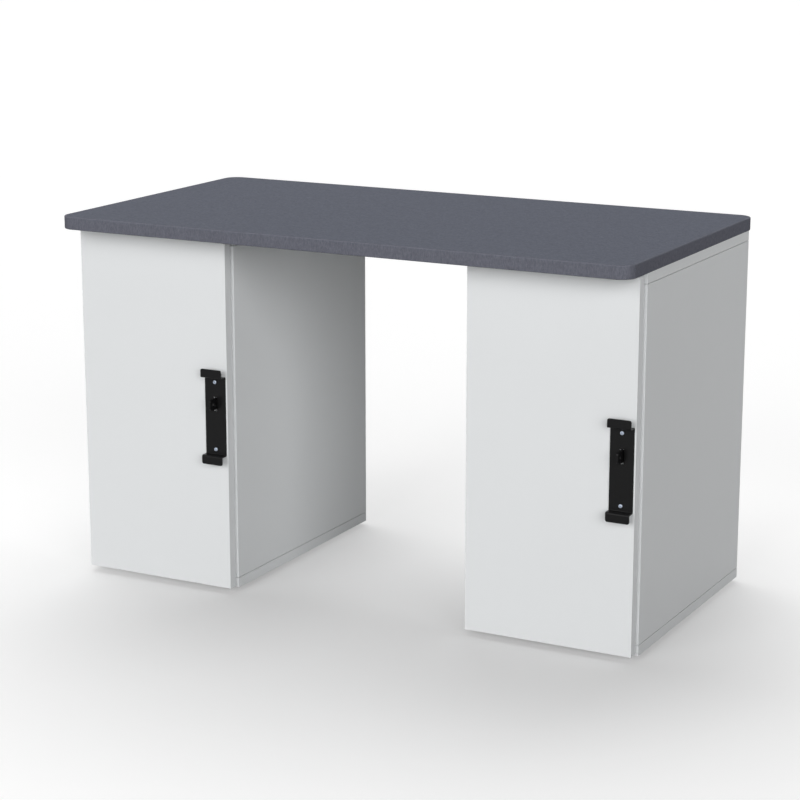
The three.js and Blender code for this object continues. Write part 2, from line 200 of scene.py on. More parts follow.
class WorkbenchColours(bpy.types.PropertyGroup):
    """Colours of the finishes."""

    white_board: colour("White board", "Melamine face of the carcass and doors", 223, 225, 226)
    grey_laminate: colour("Grey laminate", "Top of the worktop", 100, 103.5, 114.5)
    grey_edging: colour("Grey edging", "Band round the worktop", 100, 101.5, 111)
    backing_sheet: colour("Backing sheet", "Underside of the worktop", 106, 106, 108)
    raw_board: colour("Raw board", "Core of the worktop", 181, 154, 114)
    black_steel: colour("Black steel", "Powder coat on handles and staples", 20, 20, 20.5)
    zinc_steel: colour("Zinc steel", "Plating on the screws", 160, 169, 182)
    nickel_steel: colour("Nickel steel", "Plating on hinges and shelf pins", 198, 197, 193)
    grey_plastic: colour("Grey plastic", "Floor glides", 138, 140, 142)
    clear_rubber: colour("Clear rubber", "Door bumpers", 207, 210, 210)


class WorkbenchStage(bpy.types.PropertyGroup):
    """Camera, floor and light."""

    camera_place: location("Camera place", "Where the camera stands", 2.0114, -3.8254, 1.4030)
    camera_turn: bpy.props.FloatVectorProperty(
        name="Camera turn",
        description="Which way the camera looks",
        default=(math.radians(76.4987), 0.0, math.radians(27.9045)),
        subtype="EULER",
        unit="ROTATION",
    )
    camera_lens: bpy.props.FloatProperty(
        name="Camera lens",
        description="Focal length in millimetres",
        default=101.886,
        min=1.0,
    )
    camera_reach: length("Camera reach", "How far the camera sees", 200000)
    front_way: direction("Front way", "The way towards the wide light in front", -0.2, -1.0, 0.28)
    front_level: level("Front level", "How fully the front light shows a colour that faces it", 0.56)
    right_way: direction("Right way", "The way towards the light at the front right", 0.72, -0.72, 0.25)
    right_level: level("Right level", "How fully the right light shows a colour that faces it", 0.655)
    back_way: direction("Back way", "The way towards the high light at the back left", -0.55, 0.55, 0.70)
    back_level: level("Back level", "How fully the back light shows a colour that faces it", 0.69)
    low_spread: angle("Low spread", "How wide the two low lights are, which softens their shadows", 45)
    high_spread: angle("High spread", "How wide the high light is, which softens its shadow", 70)
    floor_colour: colour("Floor colour", "Pale studio floor, as it is seen", 191, 191, 191)
    floor_bounce: colour("Floor bounce", "What the floor sends back up to the bench", 140, 140, 140)
    # Painted shade on the floor: its own glow rises from near_glow round the bench to far_glow in the
    # open, and is lower still in a pool under each cabinet
    near_glow: level("Near glow", "White that the floor shows by itself at the bench", 0.365)
    far_glow: level("Far glow", "White that the floor shows by itself in the open", 0.605)
    shade_place: location("Shade place", "Where the floor glows least", 0.10, -0.36, 0.0)
    shade_width: length("Shade width", "How far to the sides the shade takes to fade", 1480)
    shade_depth: length("Shade depth", "How far to the front and back the shade takes to fade", 1125)
    pool_level: level("Pool level", "How much less the floor glows under a cabinet", 0.15)
    pool_shift: length("Pool shift", "How far right of a cabinet's middle its pool of shade lies", 60)
    pool_width: length("Pool width", "How far to the sides a pool takes to fade", 560)
    pool_depth: length("Pool depth", "How far to the front and back a pool takes to fade", 940)
    floor_reach: length("Floor reach", "How far the floor runs from the bench", 40000)


class Signal:
    """A node's output that takes part in Python arithmetic: each step adds a node."""

    def __init__(self, finish, socket):
        self.finish = finish
        self.socket = socket

    def combine(self, operation, first, second):
        """Adds the maths node that suits this output, a number's or a vector's."""
        kind = "ShaderNodeMath"
        if self.socket.type == "VECTOR":
            kind = "ShaderNodeVectorMath"
        return self.finish.node(kind, {"operation": operation}, {0: first, 1: second})

    def __add__(self, other):
        return self.combine("ADD", self, other)

    __radd__ = __add__

    def __sub__(self, other):
        return self.combine("SUBTRACT", self, other)

    def __rsub__(self, other):
        return self.combine("SUBTRACT", other, self)

    def __mul__(self, other):
        return self.combine("MULTIPLY", self, other)

    __rmul__ = __mul__

    def larger(self, other):
        return self.combine("MAXIMUM", self, other)


class Finish:
    """A node tree being filled, for a material or the world."""

    def __init__(self, owner):
        owner.use_nodes = True
        self.tree = owner.node_tree
        self.tree.nodes.clear()

    def node(self, kind, settings=None, inputs=None, output=0):
        """Adds a node of that kind, its settings first, then the values or links of its sockets."""
        made = self.tree.nodes.new(kind)
        for name, value in (settings or {}).items():
            setattr(made, name, value)
        for key, value in (inputs or {}).items():
            if isinstance(value, Signal):
                self.tree.links.new(value.socket, made.inputs[key])
            else:
                made.inputs[key].default_value = value
        return Signal(self, made.outputs[output]) if len(made.outputs) else None

    def places(self):
        """Points of the piece in its own frame, in metres, so that a pattern moves with it."""
        return self.node("ShaderNodeTexCoord", output="Object")

    def noise(self, vector, scale, detail=2.0):
        """Cloudy noise from 0 to 1, whose lumps are about 1 / scale long."""
        inputs = {"Vector": vector, "Scale": scale, "Detail": detail}
        return self.node("ShaderNodeTexNoise", None, inputs)

    def between(self, first, second, share):
        """Colour that goes from first to second as share goes from 0 to 1."""
        settings = {"data_type": "RGBA", "clamp_factor": True}
        # The node's sockets share their names between data types, so its colours go by number
        inputs = {0: share, 6: first, 7: second}
        return self.node("ShaderNodeMix", settings, inputs, output=2)

    def toned(self, base, spread, share):
        """The base colour, darker or lighter by the spread as share goes from 0 to 1."""
        return self.between(scaled(base, 1 - spread), scaled(base, 1 + spread), share)

    def bump(self, height, millimetres, strength):
        """Normal of a surface that rises by so many millimetres where height is 1."""
        inputs = {"Height": height, "Distance": millimetres * MILLIMETRE, "Strength": strength}
        return self.node("ShaderNodeBump", None, inputs)

    def surface(self, **sockets):
        """Ends the tree in a principled surface; underscores in a socket's name stand for spaces."""
        inputs = {name.replace("_", " "): value for name, value in sockets.items()}
        shader = self.node("ShaderNodeBsdfPrincipled", None, inputs)
        self.node("ShaderNodeOutputMaterial", None, {"Surface": shader})


def scaled(base, factor=1.0):
    """Opaque colour of a base colour, as it is or made darker or lighter."""
    return (*(min(1.0, part * factor) for part in base[:3]), 1.0)


def white_melamine(finish, base):
    """Satin melamine with a fine pearl grain."""
    places = finish.places()
    pearl = finish.noise(places, scale=1100)
    cloud = finish.noise(places, scale=5, detail=3)
    finish.surface(
        Base_Color=finish.toned(base, spread=0.012, share=cloud),
        Roughness=0.46 + 0.12 * pearl,
        Specular_IOR_Level=0.2,
        Normal=finish.bump(pearl, millimetres=0.05, strength=0.5),
    )


def linen_laminate(finish, base):
    """Matt laminate with a woven grain of short threads both ways."""
    places = finish.places()
    along = finish.noise(places * (230, 600, 1), scale=1, detail=3)
    across = finish.noise(places * (600, 150, 1) + (7, 3, 0), scale=1, detail=3)
    slub = finish.noise(places * (110, 190, 1), scale=1)
    weave = 0.5 * along + 0.5 * across
    tone = 0.7 * weave + 0.3 * slub
    finish.surface(
        Base_Color=finish.toned(base, spread=0.7, share=tone),
        Roughness=0.66 + 0.16 * weave,
        Specular_IOR_Level=0.01,
        Normal=finish.bump(weave, millimetres=0.08, strength=0.5),
    )


def streaked_edging(finish, base):
    """Plastic edging whose fine grain stands upright, with a painted highlight on its upper arris."""
    places = finish.places()
    streak = finish.noise(places * (420, 420, 135), scale=1, detail=3)
    speck = finish.noise(places, scale=500)
    tone = 0.65 * streak + 0.35 * speck
    normal = finish.node("ShaderNodeNewGeometry", output="Normal")
    rise = finish.node("ShaderNodeSeparateXYZ", None, {"Vector": normal}, output="Z")
    # Painted highlight: faces that lean halfway up, on the upper arris, are made paler as though lit from
    # above and in front
    arris = 4 * rise * (1 - rise)
    grained = finish.toned(base, spread=0.6, share=tone)
    painted_highlight = scaled(base, 1.4)
    finish.surface(
        Base_Color=finish.between(grained, painted_highlight, 0.45 * arris),
        Roughness=0.6 + 0.12 * streak,
        Specular_IOR_Level=0.02,
        Normal=finish.bump(tone, millimetres=0.05, strength=0.5),
    )


def paper_backing(finish, base):
    """Grey balancing sheet with paper fibres."""
    places = finish.places()
    fibre = finish.noise(places * (60, 400, 1), scale=1, detail=4)
    cloud = finish.noise(places, scale=14, detail=3)
    tone = 0.6 * fibre + 0.4 * cloud
    finish.surface(
        Base_Color=finish.toned(base, spread=0.22, share=tone),
        Roughness=0.75 + 0.1 * fibre,
        Specular_IOR_Level=0.2,
        Normal=finish.bump(fibre, millimetres=0.06, strength=0.5),
    )


def chip_board(finish, base):
    """Raw particle board: pale and dark chips pressed together."""
    places = finish.places()
    inputs = {"Vector": places * (1, 1, 2.2), "Scale": 330.0}
    chips = finish.node("ShaderNodeTexVoronoi", None, inputs, output="Distance")
    grain = finish.noise(places, scale=700, detail=3)
    tone = 0.6 * chips + 0.5 * grain
    finish.surface(
        Base_Color=finish.toned(base, spread=0.4, share=tone),
        Roughness=0.8 + 0.1 * grain,
        Specular_IOR_Level=0.15,
        Normal=finish.bump(tone, millimetres=0.15, strength=0.7),
    )


def black_powder_coat(finish, base):
    """Fine textured black powder coat."""
    places = finish.places()
    grain = finish.noise(places, scale=1400, detail=3)
    cloud = finish.noise(places, scale=60)
    finish.surface(
        Base_Color=finish.toned(base, spread=0.1, share=cloud),
        Roughness=0.18 + 0.1 * grain,
        Specular_IOR_Level=0.11,
        Normal=finish.bump(grain, millimetres=0.03, strength=0.3),
    )


def plated_steel(finish, base, roughness, grain_scale):
    """Plated steel, with a soft cloud in the plating and fine rubbing marks."""
    places = finish.places()
    rubbed = finish.noise(places * (1, 1, 6), scale=grain_scale, detail=3)
    cloud = finish.noise(places, scale=160)
    finish.surface(
        Base_Color=finish.toned(base, spread=0.06, share=cloud),
        Metallic=1.0,
        Roughness=roughness + 0.14 * rubbed,
        Normal=finish.bump(rubbed, millimetres=0.02, strength=0.4),
    )


def zinc_plate(finish, base):
    """Dull zinc."""
    plated_steel(finish, base, roughness=0.44, grain_scale=500)


def nickel_plate(finish, base):
    """Bright nickel."""
    plated_steel(finish, base, roughness=0.24, grain_scale=900)


def moulded_plastic(finish, base):
    """Dull moulded plastic with a spark-eroded grain."""
    places = finish.places()
    grain = finish.noise(places, scale=1500)
    cloud = finish.noise(places, scale=90)
    finish.surface(
        Base_Color=finish.toned(base, spread=0.08, share=cloud),
        Roughness=0.5 + 0.15 * grain,
        Specular_IOR_Level=0.3,
        Normal=finish.bump(grain, millimetres=0.04, strength=0.6),
    )


def milky_rubber(finish, base):
    """Soft milky bumper rubber."""
    places = finish.places()
    cloud = finish.noise(places, scale=300)
    finish.surface(
        Base_Color=finish.toned(base, spread=0.05, share=cloud),
        Roughness=0.3 + 0.15 * cloud,
        Specular_IOR_Level=0.4,
        Normal=finish.bump(cloud, millimetres=0.03, strength=0.4),
    )


FINISH_MAKERS = {
    "white_board": white_melamine,
    "grey_laminate": linen_laminate,
    "grey_edging": streaked_edging,
    "backing_sheet": paper_backing,
    "raw_board": chip_board,
    "black_steel": black_powder_coat,
    "zinc_steel": zinc_plate,
    "nickel_steel": nickel_plate,
    "grey_plastic": moulded_plastic,
    "clear_rubber": milky_rubber,
}
made_finishes = {}


def finish_for(slot):
    """Material of a record slot, made once."""
    if slot not in made_finishes:
        maker = FINISH_MAKERS[slot]
        material = bpy.data.materials.new(maker.__name__)
        maker(Finish(material), tuple(getattr(bpy.context.scene.workbench_colours, slot)))
        made_finishes[slot] = material
    return made_finishes[slot]


def add_piece(name, mesh, slot, body, *nodes):
    """Shows a mesh as a piece that rides on a body and stands for the CAD nodes named."""
    for face in mesh.polygons:
        face.use_smooth = True
    mesh.materials.clear()
    mesh.materials.append(finish_for(slot))
    piece = bpy.data.objects.new(name, mesh)
    bpy.context.scene.collection.objects.link(piece)
    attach(piece, body)
    if nodes:
        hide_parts(*nodes)
    normals = piece.modifiers.new("even_normals", "WEIGHTED_NORMAL")
    normals.keep_sharp = True
    return piece


def middle_of(node):
    """Middle of a CAD node's box."""
    low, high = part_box(node)
    return (low + high) / 2


def to_mesh(name, solid):
    """Ends a bmesh and gives its mesh, with all faces turned outwards."""
    bmesh.ops.recalc_face_normals(solid, faces=solid.faces)
    mesh = bpy.data.meshes.new(name)
    solid.to_mesh(mesh)
    solid.free()
    return mesh


def add_form(name, solid, slot, body, *nodes):
    """Shows a bmesh as a piece, as add_piece does a mesh."""
    return add_piece(name, to_mesh(name, solid), slot, body, *nodes)


def ease_edges(solid, radius, segments):
    """Rounds every sharp edge of a bmesh."""
    sharp = [edge for edge in solid.edges if edge.is_manifold and edge.calc_face_angle() > SHARP_ANGLE]
    bmesh.ops.bevel(
        solid,
        geom=sharp,
        offset=radius,
        offset_type="OFFSET",
        segments=segments,
        profile=0.5,
        affect="EDGES",
        clamp_overlap=True,
    )


def eased(node, radius, segments=3, end_gap=0.0):
    """A CAD node's shape with every sharp edge rounded and its ends drawn back, as a bmesh."""
    low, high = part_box(node)
    solid = bmesh.new()
    solid.from_mesh(frame["nodes"][node].data)
    bmesh.ops.remove_doubles(solid, verts=solid.verts, dist=MERGE_DISTANCE)
    for vertex in solid.verts:
        vertex.co.z = min(max(vertex.co.z, low.z + end_gap), high.z - end_gap)
    bmesh.ops.dissolve_limit(
        solid, angle_limit=FLAT_ANGLE, verts=solid.verts, edges=solid.edges, use_dissolve_boundaries=False
    )
    ease_edges(solid, radius, segments)
    return solid


def add_eased(node, slot, radius, segments=3):
    """Shows a CAD node with every sharp edge rounded, in place of the node."""
    body = frame["nodes"][node]["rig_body"]
    add_form(f"{node}_eased", eased(node, radius, segments), slot, body, node)


def arc(centre, radius, start, end, steps):
    """Points of an arc in a plane, both ends included."""
    turns = [start + (end - start) * step / steps for step in range(steps + 1)]
    return [(centre[0] + radius * math.cos(turn), centre[1] + radius * math.sin(turn)) for turn in turns]


def rounded_outline(low, high, radius, steps):
    """Points round a rectangle with round corners, each with its outward direction."""
    corners = [
        ((high[0] - radius, low[1] + radius), -QUARTER_TURN),
        ((high[0] - radius, high[1] - radius), 0.0),
        ((low[0] + radius, high[1] - radius), QUARTER_TURN),
        ((low[0] + radius, low[1] + radius), 2 * QUARTER_TURN),
    ]
    outline = []
    for centre, start in corners:
        points = arc(centre, radius, start, start + QUARTER_TURN, steps)
        outwards = arc((0.0, 0.0), 1.0, start, start + QUARTER_TURN, steps)
        outline += list(zip(points, outwards))
    return outline


def set_in(point, outward, inwards, height):
    """A point of an outline drawn inwards and raised to a height."""
    return (point[0] - outward[0] * inwards, point[1] - outward[1] * inwards, height)


def bridge(solid, loop, following):
    """Joins two loops of as many vertices by a band of faces."""
    for index in range(len(loop)):
        after = (index + 1) % len(loop)
        solid.faces.new((loop[index], loop[after], following[after], following[index]))


def banded(outline, profile):
    """A closed band: a profile of (inwards, height) points swept round an outline."""
    solid = bmesh.new()
    rings = []
    for point, outward in outline:
        rings.append([solid.verts.new(set_in(point, outward, *step)) for step in profile])
    for ring, following in zip(rings, rings[1:] + rings[:1]):
        for index in range(len(profile)):
            after = (index + 1) % len(profile)
            solid.faces.new((ring[index], following[index], following[after], ring[after]))
    return solid


def capped(outline, profile):
    """A closed sheet: a profile of (inwards, height) points swept round an outline, with flat ends."""
    solid = bmesh.new()
    layers = []
    for step in profile:
        layers.append([solid.verts.new(set_in(point, outward, *step)) for point, outward in outline])
    for layer, above in zip(layers, layers[1:]):
        bridge(solid, layer, above)
    solid.faces.new(layers[0][::-1])
    solid.faces.new(layers[-1])
    return solid


def turned(profile, facets):
    """A closed turned form about Z, from (radius, height) points that start and end on the axis."""
    solid = bmesh.new()
    rings = []
    for radius, height in profile:
        if radius < MERGE_DISTANCE:
            rings.append([solid.verts.new((0.0, 0.0, height))])
            continue
        circle = arc((0.0, 0.0), radius, 0.0, 4 * QUARTER_TURN, facets)[:-1]
        rings.append([solid.verts.new((x, y, height)) for x, y in circle])
    for ring, following in zip(rings, rings[1:]):
        for index in range(facets):
            after = (index + 1) % facets
            corners = [ring[index % len(ring)], ring[after % len(ring)]]
            corners += [following[after % len(following)], following[index % len(following)]]
            solid.faces.new(list(dict.fromkeys(corners)))
    return solid


def cross_recess(reach, width, depth, lift):
    """A tapered cross that cuts a screw's recess, open above the head."""
    taper = 0.45
    solid = bmesh.new()
    layers = []
    for height, share in ((lift, 1.0), (0.0, 1.0), (-depth, taper)):
        arm = reach * share
        half = width * share / 2
        corner = [(arm, half), (half, half), (half, arm)]
        points = []
        for quarter in range(4):
            spin = Matrix.Rotation(quarter * QUARTER_TURN, 2)
            points += [spin @ Vector(point) for point in corner]
        layers.append([solid.verts.new((point.x, point.y, height)) for point in points])
    for layer, below in zip(layers, layers[1:]):
        bridge(solid, layer, below)
    solid.faces.new(layers[0])
    solid.faces.new(layers[-1][::-1])
    return solid


def carved(body, cutter):
    """The body's mesh with the cutter's shape taken out of it."""
    block = bpy.data.objects.new("carving_block", to_mesh("carving_block", body))
    tool = bpy.data.objects.new("carving_tool", to_mesh("carving_tool", cutter))
    for item in (block, tool):
        bpy.context.scene.collection.objects.link(item)
    step = block.modifiers.new("carve", "BOOLEAN")
    step.operation = "DIFFERENCE"
    step.solver = "EXACT"
    step.object = tool
    settled = block.evaluated_get(bpy.context.evaluated_depsgraph_get())
    mesh = bpy.data.meshes.new_from_object(settled)
    for item in (block, tool):
        spare = item.data
        bpy.data.objects.remove(item)
        bpy.data.meshes.remove(spare)
    return mesh


def pan_screw(head_radius, head_height, shank_radius, shank_length):
    """Pan-head screw with a cross recess: its head stands on z = 0 and its shank points down."""
    rim_height = 0.35 * head_height
    crown_height = head_height - rim_height
    squareness = 0.6
    profile = []
    for out, up in arc((0.0, 0.0), 1.0, QUARTER_TURN, 0.0, CROWN_STEPS):
        radius = head_radius * max(0.0, out) ** squareness
        profile.append((radius, rim_height + crown_height * max(0.0, up) ** squareness))
    profile += [(head_radius, 0.0), (shank_radius, 0.0)]
    profile += [(shank_radius, -shank_length), (0.0, -shank_length)]
    recess = cross_recess(
        reach=0.62 * head_radius, width=0.28 * head_radius, depth=0.9 * head_height, lift=head_height
    )
    bmesh.ops.translate(recess, verts=recess.verts, vec=(0.0, 0.0, 0.96 * head_height))
    return carved(turned(profile, PAN_SCREW_FACETS), recess)


def flat_screw(sizes):
    """Low head of a countersunk screw with a cross recess, standing a little proud of z = 0."""
    radius = sizes.small_screw_head
    rise = 0.4 * MILLIMETRE
    sink = 0.3 * MILLIMETRE
    # A flat face, a brow that falls away and a short rim
    profile = [(0.0, rise), (0.72 * radius, rise), (0.9 * radius, 0.75 * rise), (radius, 0.25 * rise)]
    profile += [(radius, -sink), (0.0, -sink)]
    recess = cross_recess(
        reach=0.55 * radius, width=0.22 * radius, depth=0.5 * MILLIMETRE, lift=MILLIMETRE
    )
    bmesh.ops.translate(recess, verts=recess.verts, vec=(0.0, 0.0, rise))
    return carved(turned(profile, SMALL_FACETS), recess)


def facing(place, way, spin=0.0):
    """Matrix that stands a form made about Z on a place, pointing one way and spun in radians."""
    turn = Vector(way).to_track_quat("Z", "Y").to_matrix().to_4x4()
    return Matrix.Translation(place) @ turn @ Matrix.Rotation(spin, 4, "Z")


def repeated(name, mesh, stands):
    """One mesh holding a copy of another on each stand."""
    solid = bmesh.new()
    for stand in stands:
        copy = mesh.copy()
        copy.transform(stand)
        solid.from_mesh(copy)
        bpy.data.meshes.remove(copy)
    return to_mesh(name, solid)


def add_screws(name, screw, stands, body=BENCH):
    """Shows a copy of a small screw on each stand, all as one piece."""
    add_piece(name, repeated(name, screw, stands), "zinc_steel", body)


class WORKBENCH_OT_worktop(bpy.types.Operator):
    """Makes the worktop: edging with round arrises, linen laminate, backing sheet and raw core"""

    bl_idname = "workbench.worktop"
    bl_label = "Worktop"

    def execute(self, context):
        sizes = context.scene.workbench_sizes
        low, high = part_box("worktop_edging")
        outline = rounded_outline(low, high, sizes.worktop_corner, WORKTOP_CORNER_STEPS)
        self.add_edging(sizes, outline, low.z, high.z)
        sheets = {"worktop_laminate": "grey_laminate", "worktop_backing": "backing_sheet"}
        for node, slot in sheets.items():
            self.add_sheet(sizes, outline, node, slot)
        core = frame["nodes"]["worktop_core"]
        core.data.materials.clear()
        core.data.materials.append(finish_for("raw_board"))
        return {"FINISHED"}

    def add_edging(self, sizes, outline, bottom, top):
        """The band round the worktop, with its upper and lower edges rounded."""
        radius = sizes.worktop_arris
        lower = arc((radius, bottom + radius), radius, 3 * QUARTER_TURN, 2 * QUARTER_TURN, BEND_STEPS)
        upper = arc((radius, top - radius), radius, 2 * QUARTER_TURN, QUARTER_TURN, BEND_STEPS)
        inner = sizes.edging_thickness
        profile = [(inner, bottom)] + lower + upper + [(inner, top)]
        band = banded(outline, profile)
        add_form("worktop_edging_band", band, "grey_edging", BENCH, "worktop_edging")

    def add_sheet(self, sizes, outline, node, slot):
        """A sheet inside the band, eased where the two meet."""
        low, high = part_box(node)
        edge = sizes.edging_thickness + sizes.sheet_gap
        seam = sizes.seam
        profile = [(edge + seam, low.z), (edge, low.z + seam)]
        profile += [(edge, high.z - seam), (edge + seam, high.z)]
        add_form(f"{node}_sheet", capped(outline, profile), slot, BENCH, node)


class WORKBENCH_OT_cabinets(bpy.types.Operator):
    """Makes the two carcasses: eased boards, shelves on pins, backs with screws and floor glides"""

    bl_idname = "workbench.cabinets"
    bl_label = "Cabinets"

    def execute(self, context):
        sizes = context.scene.workbench_sizes
        screw = flat_screw(sizes)
        for side in SIDES:
            for board in ("bottom", "top", "back", "shelf"):
                add_eased(f"{side}_cabinet_{board}", "white_board", sizes.board_arris)
            self.add_side(sizes, side, "left_side", 1)
            self.add_side(sizes, side, "right_side", -1)
            for corner in CORNERS:
                add_eased(f"{side}_shelf_pin_{corner}", "nickel_steel", sizes.steel_arris, 2)
                self.add_glide(f"{side}_glide_{corner}")
            self.add_back_screws(side, screw)
            self.add_worktop_screws(side, screw)
        return {"FINISHED"}

    def add_side(self, sizes, side, board, inwards):
        """A side with its rows of shelf-pin holes; inwards is 1 where its inner face looks to +X."""
        node = f"{side}_cabinet_{board}"
        low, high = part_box(node)
        inner = high.x if inwards > 0 else low.x
        stands = []
        for corner in CORNERS:
            pin = middle_of(f"{side}_shelf_pin_{corner}")
            in_this_side = abs(pin.x - inner) < 2 * sizes.pin_hole_depth
            if not in_this_side:
                continue
            for step in range(-SPARE_PIN_HOLES, SPARE_PIN_HOLES + 1):
                height = pin.z + step * sizes.pin_hole_spacing
                stands.append(facing((inner, pin.y, height), (inwards, 0, 0)))
        solid = eased(node, sizes.board_arris, end_gap=sizes.board_joint)
        mesh = carved(solid, self.pin_drills(sizes, stands))
        add_piece(f"{node}_eased", mesh, "white_board", BENCH, node)

    def pin_drills(self, sizes, stands):
        """Rods that drill a shelf-pin hole on each stand."""
        radius = sizes.pin_hole / 2
        depth = sizes.pin_hole_depth
        profile = [(0.0, -depth), (radius, -depth), (radius, depth), (0.0, depth)]
        rod = to_mesh("pin_drill", turned(profile, DRILL_FACETS))
        drills = bmesh.new()
        drills.from_mesh(repeated("pin_drills", rod, stands))
        return drills

    def add_glide(self, node):
        """A floor glide with a rounded rim and the hollow of its nail."""
        low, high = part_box(node)
        radius = (high.x - low.x) / 2
        height = high.z - low.z
        ease = 2 * MILLIMETRE
        nail = 4 * MILLIMETRE
        hollow = 1.5 * MILLIMETRE
        # From the nail's hollow, over its eased lip, to the rounded rim
        profile = [(0.0, hollow), (nail, hollow), (nail, 0.3 * hollow), (1.2 * nail, 0.0)]
        profile += arc((radius - ease, ease), ease, -QUARTER_TURN, 0.0, GLIDE_STEPS)
        profile += [(radius, height), (0.0, height)]
        form = turned(profile, GLIDE_FACETS)
        place = ((low.x + high.x) / 2, (low.y + high.y) / 2, low.z)
        bmesh.ops.translate(form, verts=form.verts, vec=place)
        add_form(f"{node}_turned", form, "grey_plastic", BENCH, node)

    def add_back_screws(self, side, screw):
        """Screws round the back's edges, spun by their places so that they differ."""
        low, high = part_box(f"{side}_cabinet_back")
        inset = 5 * MILLIMETRE
        columns = [low.x + inset, (low.x + high.x) / 2, high.x - inset]
        rise = (high.z - low.z - 2 * inset) / (BACK_SCREW_ROWS - 1)
        rows = [low.z + inset + rise * step for step in range(BACK_SCREW_ROWS)]
        stands = []
        for row in rows:
            for column in columns:
                inside = column == columns[1] and row not in (rows[0], rows[-1])
                if inside:
                    continue
                stands.append(facing((column, high.y, row), (0, 1, 0), spin=column + row))
        add_screws(f"{side}_back_screws", screw, stands)

    def add_worktop_screws(self, side, screw):
        """Screws that go up through a cabinet's top into the worktop."""
        low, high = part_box(f"{side}_cabinet_top")
        across = 70 * MILLIMETRE
        along = 60 * MILLIMETRE
        stands = []
        for x in (low.x + across, high.x - across):
            for y in (low.y + along, high.y - along):
                stands.append(facing((x, y, low.z), (0, 0, -1), spin=x + y))
        add_screws(f"{side}_worktop_screws", screw, stands)


class WORKBENCH_OT_doors(bpy.types.Operator):
    """Makes the two door boards and the bumpers behind them"""

    bl_idname = "workbench.doors"
    bl_label = "Doors"

    def execute(self, context):
        sizes = context.scene.workbench_sizes
        for side in SIDES:
            add_eased(f"{side}_door", "white_board", sizes.door_arris)
            for end in ENDS:
                self.add_bumper(f"{side}_bumper_{end}", leaf(side))
        return {"FINISHED"}

    def add_bumper(self, node, body):
        """A low dome on a short foot."""
        low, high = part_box(node)
        radius = (high.x - low.x) / 2
        height = high.y - low.y
        foot = 0.25 * height
        dome = []
        for out, up in arc((0.0, 0.0), 1.0, 0.0, QUARTER_TURN, BEND_STEPS):
            dome.append((radius * out, foot + (height - foot) * up))
        profile = [(0.0, 0.0), (radius, 0.0)] + dome[:-1] + [(0.0, height)]
        form = turned(profile, SMALL_FACETS)
        stand = facing(((low.x + high.x) / 2, low.y, (low.z + high.z) / 2), (0, 1, 0))
        bmesh.ops.transform(form, matrix=stand, verts=form.verts)
        add_form(f"{node}_domed", form, "clear_rubber", body, node)


